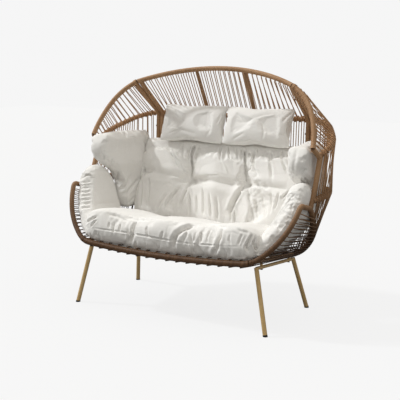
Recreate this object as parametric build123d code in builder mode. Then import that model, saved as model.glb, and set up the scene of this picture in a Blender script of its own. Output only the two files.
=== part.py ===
from build123d import *
import os
from math import atan, cos, degrees, radians, sin, sqrt

# Double egg chair of wrapped steel tube and wound wicker strands, on four splayed legs,
# with loose cushions. Millimetres. X runs along the seat, Y to the back, Z up.
# The origin is on the floor, under the middle of the chair's width and depth.
# Names that end in _y are first given from the line of the front feet, then moved by front_y.

# Rails and strands
rail_radius = 14.5  # steel tube with its flat wicker wrap
front_rail_radius = 17.5
rib_radius = 9.5  # bare tubes that run between the two layers of strands
strand_radius = 2.75
strand_pitch = 33
strand_gap = 0.35  # from a strand to the rail that it is wound on
weld_gap = 0.25  # from a coped tube's end to the tube that it meets
butt_gap = 4  # between the ends of two tubes under one band

# Front rim: front rail, corner and arm rail, in a plane that leans back
rim_y = -44
rim_z = 369
rim_lean = 30.3
rim_sag_radius = 5880
rim_sag_turn = 4.9
rim_corner_radius = 160
rim_corner_turn = 36.4
rim_joint_turn = 16  # of the corner's turn, the front rail's share ends here
rim_arm_radius = 476
rim_arm_turn = 40.5
arm_tip_radius = 28
arm_tip_x = 756
arm_tip_y = 146
arm_tip_z = 693

# Rear rib and rear rail, in a plane that leans forward
rear_y = 557
rear_z = 309
rear_flat_half = 420
rear_corner_radius = 263
rear_corner_turn = 46.3
rear_side_radius = 500
rear_side_turn = 40
elbow_y = 278
elbow_z = 660
elbow_radius = 45
elbow_tail = 52

# Ring rail round the back at seat-arm height
ring_y = 750
ring_z = 697
ring_half = 527
ring_corner_radius = 200
ring_corner_turn = 75
ring_side_radius = 1040
ring_side_turn = 17

# Back rail, side rails and the posts that carry them
back_y = 769
back_z = 1092
panel_half = 528  # seam between the middle panel and each wing panel
side_rise = 0.4
side_fall = 0.045
side_corner_radius = 185
side_corner_turn = 58
side_flat_radius = 1430
side_flat_turn = 4.2
side_front_radius = 277
side_front_turn = 48.4
rib_bend_radius = 45
hood_rib_x = 165
seat_rib_x = 182
leg_rib_x = 545

# Counts and ends of the strands
wing_strands = 15
wing_strand_start = 42
wing_strand_margin = 22
side_strand_start = 44
side_strand_margin = 24
ring_strand_start = 30
ring_strand_margin = 30
rib_strand_start = 545
rib_strand_end = 965
arm_strand_start = 10

# Hood: one arc over the middle panel and one down each wing
hood_y = 508
hood_z = 1300
hood_lean = 53.5
hood_radius = 1046
wing_foot_y = 328
wing_foot_z = 978
wing_start_fall = 29
wing_upper_radius = 359
wing_upper_turn = 34.1
wing_lower_radius = 613
wing_lower_turn = 21.4
post_heading = 59.7
post_radius = 1217
post_turn = 13.5

# Bands of wicker over the joints
band_width = 14
band_wall = 2.2
band_start = 4

# Legs
leg_radius = 12.5
leg_wall = 1.5
front_foot_x = 630
rear_foot_x = 603.5
rear_foot_y = 596
front_top_x = 549.5
front_top_y = 46
front_top_z = 352
rear_top_x = 543
rear_top_y = 524
rear_top_z = 303
leg_head = 5  # leg above the stretcher's line
stretcher_radius = 9.5
cap_radius = 13.4
cap_height = 9
cap_edge = 2
cap_plug = 16
cap_fit = 0.25

# Bolts
bolt_radius = 4
bolt_fit = 0.2
bolt_head_radius = 7
bolt_head_height = 4
bolt_bite = 7
leg_bolt_inset = 62
spacer_radius = 8
seam_bolt_heights = (1005, 800)
seam_bolt_upper_share = 0.6  # of the way up from the back rail to the hood's joint
seam_bolt_radius = 3
seam_head_radius = 5.5
seam_head_height = 3

# Cushions
soft_gap = 1.5
seat_half = 545
seat_back_y = 442
seat_front_step = 6
seat_front_rake = 24
seat_end_inset = 34
seat_end_lift = 8
seat_front_height = 158
seat_back_height = 122
seat_crown = 16
seat_bulge = 13
arm_start = 4
arm_depth = 372
arm_thickness = 84
arm_low_outer = 39
arm_low_inner = 47
arm_top_angle = 97  # round the rim's arc, from straight below its centre
arm_top_bulge = 3
arm_end_inset = 30
arm_crown = 10
back_half = 566
back_top_drop = 170  # under the back rail
back_slack = 2.9
back_foot_rise = 28
back_foot_lift = 110
back_foot_depth = 78
back_top_depth = 102
back_end_inset = 26
back_crown = 12
back_top_bulge = 14
wing_seam_x = 570
wing_back_y = 706
wing_turn_x = 660
wing_turn_y = 638
wing_outer_x = 710
wing_side_y = 520
wing_inner_y = 600
wing_front_x = 714
wing_front_y = 280
wing_notch_y = 476  # front edge over the arm cushion
wing_low_z = 520
wing_top_drop = 117  # under the back rail
wing_end_inset = 16
wing_thickness = 106  # at the front edge
wing_taper = 6
wing_low_share = 0.55  # below the ring rail, of the way down: how far the wing moves forward
wing_bend_share = 0.25
wing_narrow_share = 0.2
pillow_width = 420
pillow_height = 240
pillow_thick = 105
pillow_x_left = -205
pillow_x_right = 245
pillow_set_left = 105.2  # from the back rail's strands forward to the pillow's middle
pillow_set_right = 111
pillow_drop = 48  # under the back rail
pillow_lean = 20

# The middle of the depth, between the front rail and the strands behind the back rail
strand_reach = rail_radius + strand_gap + strand_radius
front_edge_y = rim_y - front_rail_radius
back_edge_y = back_y + strand_reach + strand_radius
front_y = -(front_edge_y + back_edge_y) / 2

X_UNIT = Vector(1, 0, 0)


def leaning_plane(y, z, lean):
    """Plane across the chair whose own Y goes up and leans back by an angle."""
    angle = radians(lean)
    return Plane(origin=(0, front_y + y, z), x_dir=X_UNIT, z_dir=(0, -cos(angle), sin(angle)))


def bent_line(plane, start, heading, bends):
    """Tangent arcs on a plane from a start point: each bend is (radius, turn to the left)."""
    with BuildLine() as line:
        point = Vector(*start)
        tangent = Vector(cos(radians(heading)), sin(radians(heading)))
        for radius, turn in bends:
            arc = JernArc(point, tangent, radius, turn)
            point, tangent = arc @ 1, arc % 1
    return plane.from_local_coords(line.wire())


def cornered_line(points, radius):
    """Straight runs through points, with one bend radius at the corners."""
    with BuildLine() as line:
        if len(points) > 2:
            FilletPolyline(*points, radius=radius)
        else:
            Line(*points)
    return line.wire()


def joined(*wires):
    """One wire from several that follow each other."""
    return Wire([edge for wire in wires for edge in wire.edges()])


def mirrored(wire):
    return wire.mirror(Plane.YZ)


def trimmed(wire, start=0, end=0):
    """The wire without a length at its start and at its end."""
    return wire.trim(start / wire.length, 1 - end / wire.length)


def tube(line, radius, bore=0, copes=()):
    """Tube swept along a line, its ends coped to the tubes (line, radius) that it meets."""
    with BuildPart() as piece:
        with BuildSketch(Plane(origin=line @ 0, z_dir=line % 0)):
            Circle(radius)
            if bore:
                Circle(bore, mode=Mode.SUBTRACT)
        sweep(path=line)
        for other, other_radius in copes:
            with BuildSketch(Plane(origin=other @ 0, z_dir=other % 0)):
                Circle(other_radius + weld_gap)
            sweep(path=other, mode=Mode.SUBTRACT)
    return piece.part


def save(part, name):
    part.label = name
    export_step(part, f"parts/{name}.step")


def save_pair(part, name):
    """A piece of the right side and its mirror image on the left."""
    save(part, f"{name}_right")
    with BuildPart() as left:
        mirror(part, about=Plane.YZ)
    save(left.part, f"{name}_left")


os.makedirs("parts", exist_ok=True)

# Lines of the front rim, right half, from the middle of the front rail to the elbow
rim_plane = leaning_plane(rim_y, rim_z, rim_lean)
front_half_line = bent_line(
    rim_plane,
    (0, 0),
    0,
    [(rim_sag_radius, rim_sag_turn), (rim_corner_radius, rim_joint_turn)],
)
joint_point = rim_plane.to_local_coords(front_half_line @ 1)
arm_arc_line = bent_line(
    rim_plane,
    (joint_point.X, joint_point.Y),
    rim_sag_turn + rim_joint_turn,
    [(rim_corner_radius, rim_corner_turn - rim_joint_turn), (rim_arm_radius, rim_arm_turn)],
)
arm_tip = Vector(arm_tip_x, front_y + arm_tip_y, arm_tip_z)

# Line of the rear rib, right half, from the middle of the rear rail up to the elbow
rear_lean = -degrees(atan((rear_y - elbow_y) / (elbow_z - rear_z)))
rear_plane = leaning_plane(rear_y, rear_z, rear_lean)
rear_flat_line = cornered_line(
    [(0, front_y + rear_y, rear_z), (rear_flat_half, front_y + rear_y, rear_z)], 0
)
rear_arc_line = bent_line(
    rear_plane,
    (rear_flat_half, 0),
    0,
    [(rear_corner_radius, rear_corner_turn), (rear_side_radius, rear_side_turn)],
)
rib_top = rear_arc_line @ 1
elbow = rib_top + (rear_arc_line % 1) * elbow_tail
arm_top_line = cornered_line(
    [arm_arc_line @ 1, arm_tip, elbow, rib_top], [arm_tip_radius, elbow_radius]
)
arm_line = joined(arm_arc_line, arm_top_line)
rear_half_line = joined(rear_flat_line, rear_arc_line)
front_line = joined(mirrored(front_half_line), front_half_line)

# Lines of the ring rail, right half
ring_plane = Plane.XY.offset(ring_z)
ring_side_line = bent_line(
    ring_plane,
    (ring_half, front_y + ring_y),
    0,
    [(ring_corner_radius, -ring_corner_turn), (ring_side_radius, -ring_side_turn)],
)
ring_back_line = cornered_line(
    [(-ring_half, front_y + ring_y, ring_z), (ring_half, front_y + ring_y, ring_z)], 0
)

# Lines of the back rail and the side rail, which drops as it comes forward
side_x_dir = Vector(1, 0, -side_fall).normalized()
side_y_dir = Vector(0, 1, side_rise)
side_y_dir = (side_y_dir - side_x_dir * side_y_dir.dot(side_x_dir)).normalized()
back_corner = Vector(panel_half, front_y + back_y, back_z)
side_plane = Plane(origin=back_corner, x_dir=side_x_dir, z_dir=side_x_dir.cross(side_y_dir))
side_line = bent_line(
    side_plane,
    (0, 0),
    0,
    [
        (side_corner_radius, -side_corner_turn),
        (side_flat_radius, -side_flat_turn),
        (side_front_radius, -side_front_turn),
    ],
)
seam_offset = rail_radius + weld_gap / 2
panel_rib_x = panel_half - seam_offset
back_line = cornered_line(
    [(-panel_rib_x, front_y + back_y, back_z), (panel_rib_x, front_y + back_y, back_z)], 0
)

# Lines of the hood
hood_plane = leaning_plane(hood_y, hood_z, hood_lean)
hood_rise = hood_radius - sqrt(hood_radius**2 - panel_half**2)


def hood_height(x):
    """Height of the hood's arc over its ends, in the hood's own plane."""
    return hood_rise - hood_radius + sqrt(hood_radius**2 - x**2)


with BuildLine() as hood_arc:
    ThreePointArc((-panel_half, 0), (0, hood_rise), (panel_half, 0))
hood_line = hood_plane.from_local_coords(hood_arc.wire())

wing_lean = degrees(atan((hood_y - wing_foot_y) / (hood_z - wing_foot_z)))
wing_plane = leaning_plane(hood_y, hood_z, wing_lean)
wing_line = bent_line(
    wing_plane,
    (panel_half, 0),
    -wing_start_fall,
    [(wing_upper_radius, -wing_upper_turn), (wing_lower_radius, -wing_lower_turn)],
)

# Line of the front post, from the elbow up to the side rail and on to the wing's foot
post_plane = Plane(origin=(elbow.X, 0, 0), x_dir=(0, 1, 0), z_dir=X_UNIT)
post_arc_line = bent_line(
    post_plane, (elbow.Y, elbow.Z), post_heading, [(post_radius, post_turn)]
)
wing_foot = wing_line @ 1
post_head = post_arc_line @ 1
link_line = cornered_line([post_head, wing_foot], 0)


# Lines of the doubled ribs beside each seam, which touch along it
def knee_line(top, x):
    """Line of a rib from the hood down to the back rail's height and on to the ring."""
    knee = (x, front_y + back_y, back_z)
    return cornered_line([top, knee, (x, front_y + ring_y, ring_z)], rib_bend_radius)


panel_rib_top = hood_plane.from_local_coords(Vector(panel_rib_x, hood_height(panel_rib_x)))
panel_rib_line = knee_line(panel_rib_top, panel_rib_x)
wing_rib_top = wing_line @ (seam_offset / cos(radians(wing_start_fall)) / wing_line.length)
wing_rib_line = knee_line(wing_rib_top, panel_half + seam_offset)

# Rails of the basket
front_rail = tube(trimmed(front_line, butt_gap / 2, butt_gap / 2), front_rail_radius)
save(front_rail, "front_rail")

arm_rail = tube(trimmed(arm_line, butt_gap / 2, butt_gap / 2), rail_radius)
save_pair(arm_rail, "arm_rail")

rear_rail = tube(joined(mirrored(rear_flat_line), rear_flat_line), rail_radius)
save(rear_rail, "rear_rail")

rear_rib = tube(trimmed(rear_arc_line, butt_gap / 2, butt_gap / 2), rail_radius)
save_pair(rear_rib, "rear_rib")

# The front post stands on the elbow. The wing's link, the side rail and the ring meet it.
post_cut = (post_arc_line, rail_radius)
front_post = tube(post_arc_line, rail_radius, copes=[(arm_line, rail_radius)])
save_pair(front_post, "front_post")

ring_back = tube(ring_back_line, rail_radius)
save(ring_back, "ring_rail_back")

ring_side = tube(trimmed(ring_side_line, butt_gap), rail_radius, copes=[post_cut])
save_pair(ring_side, "ring_rail")

# Hood arcs, in one line over the seat with a band over each joint
hood_arc_tube = tube(trimmed(hood_line, butt_gap / 2, butt_gap / 2), rail_radius)
save(hood_arc_tube, "hood_arc")

wing_arc = tube(trimmed(wing_line, butt_gap / 2), rail_radius)
save_pair(wing_arc, "wing_arc")

link_cuts = [post_cut, (wing_line, rail_radius), (side_line, rail_radius)]
with BuildPart() as wing_links:
    add(tube(link_line, rail_radius, copes=link_cuts))
    mirror(about=Plane.YZ)
save(wing_links.part, "wing_links")

# Doubled ribs at the seams between the middle panel and the wing panels, bolted together
hood_cut = (hood_line, rail_radius)
band_cut = (wing_line, rail_radius + weld_gap + band_wall)
ring_cut = (joined(ring_back_line, ring_side_line), rail_radius)
back_slope_share = (back_y - ring_y) / (back_z - ring_z)
seam_bolt_length = 4 * rail_radius + weld_gap
seam_bolt_places = [
    (front_y + back_y + (height - back_z) * back_slope_share, height)
    for height in seam_bolt_heights
] + [
    (
        front_y + back_y + (hood_y - back_y) * seam_bolt_upper_share,
        back_z + (hood_z - back_z) * seam_bolt_upper_share,
    )
]
seam_bolt_planes = [
    Plane(origin=(panel_half - seam_bolt_length / 2, y, z), x_dir=(0, 1, 0), z_dir=X_UNIT)
    for y, z in seam_bolt_places
]


def drilled(part, planes, radius, length):
    """The part with round holes of a length from each plane along its normal."""
    with BuildPart() as piece:
        add(part)
        with Locations(*[plane.location for plane in planes]):
            Cylinder(
                radius, length, align=(Align.CENTER, Align.CENTER, Align.MIN), mode=Mode.SUBTRACT
            )
    return piece.part


panel_rib = tube(panel_rib_line, rail_radius, copes=[hood_cut, ring_cut])
panel_rib = drilled(panel_rib, seam_bolt_planes, seam_bolt_radius + bolt_fit, seam_bolt_length)
save_pair(panel_rib, "panel_rib")

wing_rib = tube(wing_rib_line, rail_radius, copes=[band_cut, ring_cut])
wing_rib = drilled(wing_rib, seam_bolt_planes, seam_bolt_radius + bolt_fit, seam_bolt_length)
save_pair(wing_rib, "wing_rib")

with BuildPart() as seam_bolts:
    with Locations(*[plane.location for plane in seam_bolt_planes]):
        Cylinder(seam_bolt_radius, seam_bolt_length, align=(Align.CENTER, Align.CENTER, Align.MIN))
        Cylinder(
            seam_head_radius, seam_head_height, align=(Align.CENTER, Align.CENTER, Align.MAX)
        )
        with Locations((0, 0, seam_bolt_length)):
            Cylinder(
                seam_head_radius, seam_head_height, align=(Align.CENTER, Align.CENTER, Align.MIN)
            )
    mirror(about=Plane.YZ)
save(seam_bolts.part, "seam_bolts")

panel_rib_cuts = [(panel_rib_line, rail_radius), (mirrored(panel_rib_line), rail_radius)]
back_rail = tube(back_line, rail_radius, copes=panel_rib_cuts)
save(back_rail, "back_rail")

side_rail_line = trimmed(side_line, seam_offset)
side_rail = tube(side_rail_line, rail_radius, copes=[(wing_rib_line, rail_radius), post_cut])
save_pair(side_rail, "side_rail")

# Bare ribs inside the panels, between the two layers of strands
back_cut = (back_line, rail_radius)
rear_cut = (joined(mirrored(rear_half_line), rear_half_line), rail_radius)
rim_cut = (front_line, front_rail_radius)
hood_rib_top = hood_plane.from_local_coords(Vector(hood_rib_x, hood_height(hood_rib_x)))
back_rib_top = (hood_rib_x, front_y + back_y, back_z)
ring_point = (hood_rib_x, front_y + ring_y, ring_z)
rear_point = (hood_rib_x, front_y + rear_y, rear_z)
for name, points, copes in (
    ("hood_ribs", [hood_rib_top, back_rib_top], [hood_cut, back_cut]),
    ("back_ribs", [back_rib_top, ring_point], [back_cut, ring_cut]),
    ("lower_ribs", [ring_point, rear_point], [ring_cut, rear_cut]),
):
    with BuildPart() as ribs:
        add(tube(cornered_line(points, 0), rib_radius, copes=copes))
        mirror(about=Plane.YZ)
    save(ribs.part, name)


def point_at_x(wire, x):
    """Point where a wire that runs across the chair passes a distance from its middle."""
    crossing = Plane.YZ.offset(x)
    return (wire.intersect(crossing)[0]).center()


def seat_rib_line(x):
    """Line of a rib under the seat, from the front rail to the rear rail."""
    return cornered_line([point_at_x(rim_cut[0], x), point_at_x(rear_cut[0], x)], 0)


with BuildPart() as seat_ribs:
    add(tube(seat_rib_line(seat_rib_x), rib_radius, copes=[rim_cut, rear_cut]))
    mirror(about=Plane.YZ)
save(seat_ribs.part, "seat_ribs")

arm_band_cut = (arm_line, rail_radius + weld_gap + band_wall)

# Leg frames: two splayed legs and a stretcher a side, bolted up to the outer seat ribs
outer_rib_line = seat_rib_line(leg_rib_x)
front_top = Vector(front_top_x, front_y + front_top_y, front_top_z)
rear_top = Vector(rear_top_x, front_y + rear_top_y, rear_top_z)
leg_lines = {}
cap_list = []
for end, foot, top in (
    ("front", Vector(front_foot_x, front_y, 0), front_top),
    ("rear", Vector(rear_foot_x, front_y + rear_foot_y, 0), rear_top),
):
    up = (top - foot).normalized()
    leg_lines[end] = cornered_line([foot + up * cap_height, top + up * leg_head], 0)
    leg = tube(leg_lines[end], leg_radius, bore=leg_radius - leg_wall)
    save_pair(leg, f"{end}_leg")
    with BuildPart() as foot_cap:
        with BuildSketch(Plane(origin=foot, z_dir=up)):
            Circle(cap_radius)
        extrude(amount=cap_height, both=True)
        fillet(foot_cap.faces().sort_by(Axis(foot, up))[-1].edges(), cap_edge)
        with BuildSketch(Plane(origin=foot, z_dir=up)):
            Circle(leg_radius - leg_wall - cap_fit)
        extrude(amount=cap_height + cap_plug)
        split(bisect_by=Plane.XY, keep=Keep.TOP)
    cap_list.append(foot_cap.part)

with BuildPart() as foot_caps:
    add(cap_list)
    mirror(about=Plane.YZ)
save(foot_caps.part, "foot_caps")

stretcher_line = cornered_line([front_top, rear_top], 0)
bolt_planes = []
rise_lengths = []
for share in (leg_bolt_inset / stretcher_line.length, 1 - leg_bolt_inset / stretcher_line.length):
    place = stretcher_line @ share
    along = outer_rib_line % 0
    over = outer_rib_line @ 0 + along * (place - outer_rib_line @ 0).dot(along)
    bolt_planes.append(Plane(origin=place, z_dir=over - place))
    rise_lengths.append((over - place).length)
head_drop = stretcher_radius + weld_gap

stands_up = (Align.CENTER, Align.CENTER, Align.MIN)
hangs_down = (Align.CENTER, Align.CENTER, Align.MAX)
leg_cuts = [(leg_lines["front"], leg_radius), (leg_lines["rear"], leg_radius)]
with BuildPart() as stretcher:
    add(tube(stretcher_line, stretcher_radius, copes=leg_cuts))
    for plane in bolt_planes:
        with Locations(plane.location):
            Cylinder(bolt_radius + bolt_fit, 4 * stretcher_radius, mode=Mode.SUBTRACT)
save_pair(stretcher.part, "side_stretcher")

with BuildPart() as outer_rib:
    add(tube(outer_rib_line, rib_radius, copes=[arm_band_cut, rim_cut, rear_cut]))
    for plane, rise in zip(bolt_planes, rise_lengths):
        with Locations(plane.location):
            depth = rise + bolt_bite + bolt_fit
            Cylinder(bolt_radius + bolt_fit, depth, align=stands_up, mode=Mode.SUBTRACT)
save_pair(outer_rib.part, "leg_rib")

with BuildPart() as leg_bolts:
    for plane, rise in zip(bolt_planes, rise_lengths):
        with Locations(plane.location):
            Cylinder(bolt_radius, rise + bolt_bite, align=stands_up)
            Cylinder(bolt_radius, head_drop, align=hangs_down)
        with Locations(plane.offset(-head_drop).location):
            Cylinder(bolt_head_radius, bolt_head_height, align=hangs_down)
    mirror(about=Plane.YZ)
save(leg_bolts.part, "leg_bolts")

with BuildPart() as leg_spacers:
    for plane, rise in zip(bolt_planes, rise_lengths):
        with Locations(plane.location):
            Cylinder(spacer_radius, rise, align=stands_up)
            Cylinder(bolt_radius + bolt_fit, rise, align=stands_up, mode=Mode.SUBTRACT)
    for line, radius in ((stretcher_line, stretcher_radius), (outer_rib_line, rib_radius)):
        with BuildSketch(Plane(origin=line @ 0, z_dir=line % 0)):
            Circle(radius + weld_gap)
        sweep(path=line, mode=Mode.SUBTRACT)
    mirror(about=Plane.YZ)
save(leg_spacers.part, "leg_spacers")

# Bands of wicker over the joints of the rim and of the hood
with BuildPart() as joint_bands:
    for line, start in ((arm_line, band_start), (wing_line, band_start)):
        band_line = line.trim(start / line.length, (start + band_width) / line.length)
        with BuildSketch(Plane(origin=band_line @ 0, z_dir=band_line % 0)):
            Circle(rail_radius + weld_gap + band_wall)
            Circle(rail_radius + weld_gap, mode=Mode.SUBTRACT)
        sweep(path=band_line)
    mirror(about=Plane.YZ)
save(joint_bands.part, "joint_bands")


# Strands: each wind of wicker has a run on the front and one on the back of its two rails
def spots_across(wire, first, count):
    """Places on a wire across the chair, a pitch apart in X: (point, direction)."""
    places = []
    for k in range(count):
        point = point_at_x(wire, first + k * strand_pitch)
        places.append((point, wire.tangent_at(wire.param_at_point(point))))
    return places


def spots_along(wire, first, last, count, half=False):
    """Places on a wire at even steps of length: (point, direction)."""
    step = (last - first) / (count - 1)
    lengths = [first + (k + half / 2) * step for k in range(count - int(half))]
    return [(wire @ (s / wire.length), wire % (s / wire.length)) for s in lengths]


def wound_strands(spots, other_spots, reach=strand_reach):
    """Straight runs of both layers between matching places on two rails."""
    runs = []
    for (start, start_way), (end, end_way) in zip(spots, other_spots):
        way = (end - start).normalized()
        start_side = way.cross(start_way).normalized() * reach
        end_side = way.cross(end_way).normalized() * strand_reach
        if start_side.dot(end_side) < 0:
            end_side = -end_side
        for layer in (-1, 1):
            low = start + start_side * layer
            high = end + end_side * layer
            runs.append(
                Solid.make_cylinder(
                    strand_radius, (high - low).length, Plane(origin=low, z_dir=high - low)
                )
            )
    return runs


front_reach = front_rail_radius + strand_gap + strand_radius
panel_strands = int((panel_rib_x - rail_radius - strand_radius) / strand_pitch)  # each side
hood_first = -strand_pitch * panel_strands
half_first = hood_first + strand_pitch / 2
panel_count = 2 * panel_strands + 1
for name, spots, other_spots, reach in (
    (
        "hood_strands",
        spots_across(hood_line, hood_first, panel_count),
        spots_across(back_line, hood_first, panel_count),
        strand_reach,
    ),
    (
        "back_strands",
        spots_across(back_line, half_first, panel_count - 1),
        spots_across(ring_back_line, half_first, panel_count - 1),
        strand_reach,
    ),
    (
        "lower_back_strands",
        spots_across(ring_back_line, hood_first, panel_count),
        spots_across(rear_cut[0], hood_first, panel_count),
        strand_reach,
    ),
    (
        "seat_strands",
        spots_across(front_line, half_first - strand_pitch, panel_count + 1),
        spots_across(rear_cut[0], half_first - strand_pitch, panel_count + 1),
        front_reach,
    ),
):
    with BuildPart() as strands:
        add(wound_strands(spots, other_spots, reach=reach))
    save(strands.part, name)

side_length = side_line.length - side_strand_margin
wing_length = wing_line.length - wing_strand_margin
ring_length = ring_side_line.length - ring_strand_margin
for name, spots, other_spots in (
    (
        "hood_wing_strands",
        spots_along(wing_line, wing_strand_start, wing_length, wing_strands),
        spots_along(side_line, side_strand_start, side_length, wing_strands),
    ),
    (
        "back_wing_strands",
        spots_along(side_line, side_strand_start, side_length, wing_strands, half=True),
        spots_along(ring_side_line, ring_strand_start, ring_length, wing_strands, half=True),
    ),
    (
        "lower_side_strands",
        spots_along(ring_side_line, ring_strand_start, ring_length, wing_strands),
        spots_along(rear_half_line, rib_strand_start, rib_strand_end, wing_strands),
    ),
    (
        "arm_strands",
        spots_along(arm_arc_line, arm_strand_start, arm_arc_line.length, wing_strands, half=True),
        spots_along(rear_half_line, rib_strand_start, rib_strand_end, wing_strands, half=True),
    ),
):
    with BuildPart() as strands:
        add(wound_strands(spots, other_spots))
    save_pair(strands.part, name)

# Cushions. Each is a loft through closed outlines of lines and arcs, clear of the strands.
soft_reach = strand_reach + strand_radius + soft_gap


def lofted(sketches):
    with BuildPart() as cushion:
        loft(sections=sketches)
    return cushion.part


def closed_outline(plane, edges):
    """Face on a plane from a ring of edges: each is its points, two for a line, three for an arc."""
    with BuildSketch(plane) as outline:
        with BuildLine():
            for points in edges:
                if len(points) == 2:
                    Line(*points)
                else:
                    ThreePointArc(*points)
        make_face()
    return outline.sketch.faces()[0]


def side_on(x):
    """Plane across X, whose own X goes to the back and own Y goes up."""
    return Plane(origin=(x, 0, 0), x_dir=(0, 1, 0), z_dir=X_UNIT)


def both_ways(rows):
    """The rows, and before them the same rows with their first share turned about zero."""
    left = [(-row[0],) + tuple(row[1:]) for row in rows if row[0] > 0]
    return left[::-1] + list(rows)


# Seat cushion: three crowned bays with two sewn channels, ends drawn in
# Each row: share of the half width, share of the full height, share of the end inset
seat_shares = both_ways(
    [(0, 1, 0), (0.35, 0.9, 0.1), (0.66, 1, 0), (0.92, 0.9, 0.3), (1, 0.62, 1)]
)


def seat_outline(share, height_share, inset_share):
    x = share * seat_half
    front_point = point_at_x(front_line, x)
    back_point = point_at_x(rear_cut[0], x)
    slope = (back_point.Z - front_point.Z) / (back_point.Y - front_point.Y)
    inset = seat_end_inset * inset_share
    front_rest = front_point.Z + front_reach + strand_radius + soft_gap + seat_end_lift * inset_share
    low_y = front_point.Y + seat_front_step + inset
    high_y = front_y + seat_back_y - inset
    low_front = Vector(low_y, front_rest + slope * (low_y - front_point.Y))
    low_back = Vector(high_y, front_rest + slope * (high_y - front_point.Y))
    top_front = low_front + Vector(seat_front_rake, seat_front_height * height_share)
    top_back = low_back + Vector(0, seat_back_height * height_share)
    crown = (top_front + top_back) / 2 + Vector(0, seat_crown * height_share)
    nose = (low_front + top_front) / 2 - Vector(seat_bulge, 0)
    heel = (low_back + top_back) / 2 + Vector(seat_bulge, 0) / 2
    edges = [
        (low_front, low_back),
        (low_back, heel, top_back),
        (top_back, crown, top_front),
        (top_front, nose, low_front),
    ]
    return closed_outline(side_on(x), edges)


seat_cushion = lofted([seat_outline(*row) for row in seat_shares])
save(seat_cushion, "seat_cushion")

# Arm cushions: their backs follow the arm rail's arc, and they reach above its tip
corner_heading = radians(rim_sag_turn + rim_joint_turn)
corner_centre = joint_point + Vector(-sin(corner_heading), cos(corner_heading)) * rim_corner_radius
arm_heading = radians(rim_sag_turn + rim_corner_turn)
arm_centre = corner_centre + Vector(-sin(arm_heading), cos(arm_heading)) * (
    rim_arm_radius - rim_corner_radius
)
seat_slope = atan((rim_z - rear_z) / (rear_y - rim_y))
arm_outer_radius = rim_arm_radius - soft_reach
# Each row: share of the depth, share of the top's angle, share of the end inset
arm_shares = (
    (0, 0.96, 0.4),
    (0.08, 1, 0.1),
    (0.35, 1, 0),
    (0.6, 0.93, 0.07),
    (0.82, 0.8, 0.37),
    (1, 0.64, 1),
)


def arm_outline(depth_share, angle_share, inset_share):
    depth = arm_start + depth_share * arm_depth
    top_angle = arm_top_angle * angle_share
    inset = arm_end_inset * inset_share
    shift = Vector(0, cos(seat_slope), -sin(seat_slope)) * depth
    plane = Plane(origin=rim_plane.origin + shift, x_dir=X_UNIT, z_dir=rim_plane.z_dir)

    def spot(radius, angle):
        return arm_centre + Vector(sin(radians(angle)), -cos(radians(angle))) * radius

    outer = arm_outer_radius - inset
    inner = arm_outer_radius - arm_thickness + inset
    middle = (outer + inner) / 2
    edges = [
        (
            spot(outer, arm_low_outer),
            spot(outer, (arm_low_outer + top_angle) / 2),
            spot(outer, top_angle),
        ),
        (spot(outer, top_angle), spot(middle, top_angle + arm_top_bulge), spot(inner, top_angle)),
        (
            spot(inner, top_angle),
            spot(inner - arm_crown, (arm_low_inner + top_angle) / 2),
            spot(inner, arm_low_inner),
        ),
        (spot(inner, arm_low_inner), spot(outer, arm_low_outer)),
    ]
    return closed_outline(plane, edges)


arm_cushion = lofted([arm_outline(*row) for row in arm_shares])
save_pair(arm_cushion, "arm_cushion")

# Back cushion: leans on the strands, with two sewn channels between three bays
back_reach = soft_reach + back_slack
back_top_z = back_z - back_top_drop
ring_spot = Vector(front_y + ring_y, ring_z)
back_high = Vector(
    front_y + ring_y + (back_top_z - ring_z) * back_slope_share - back_reach, back_top_z
)
# Each row: share of the half width, share of the crown, share of the end inset
back_shares = both_ways(
    [(0, 1, 0), (0.336, -1, 0), (0.67, 1, 0), (0.76, 0.9, 0.05), (0.9, 0.6, 0.3), (1, 0.2, 1)]
)


def back_outline(share, crown_share, inset_share):
    x = share * back_half
    inset = back_end_inset * inset_share
    rear_point = point_at_x(rear_cut[0], x)
    rear_spot = Vector(rear_point.Y, rear_point.Z)
    lower_way = (ring_spot - rear_spot).normalized()
    lower_in = Vector(-lower_way.Y, lower_way.X) * (back_reach + inset / 2)
    back_low = rear_spot + lower_in + lower_way * (back_foot_rise + back_foot_lift * inset_share)
    back_bend = ring_spot - Vector(back_reach + inset / 2, 0)
    low_front = back_low + Vector(inset - back_foot_depth, 0)
    top_front = back_high + Vector(inset - back_top_depth, -inset / 2)
    top_back = back_high - Vector(0, inset / 2)
    belly = (low_front + top_front) / 2 + Vector(-back_crown * crown_share, 0)
    edges = [
        (back_low, back_bend),
        (back_bend, top_back),
        (top_back, (top_back + top_front) / 2 + Vector(0, back_top_bulge), top_front),
        (top_front, belly, low_front),
        (low_front, back_low),
    ]
    return closed_outline(side_on(x), edges)


back_cushion = lofted([back_outline(*row) for row in back_shares])
save(back_cushion, "back_cushion")

# Wing cushions: the back cushion's ends, turned forward round the corners
wing_height = back_z - wing_top_drop - wing_low_z
# Each row: share of the height, share of the notch in the front edge, share of the end inset
wing_shares = (
    (0, 0.858, 0.88),
    (0.055, 0.893, 0.19),
    (0.176, 0.925, 0.05),
    (0.286, 0.935, 0.15),
    (0.396, 0.83, 0.3),
    (0.538, 0.52, 0),
    (0.659, 0.13, 0),
    (0.923, 0, 0),
    (1, 0.05, 1),
)


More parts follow.
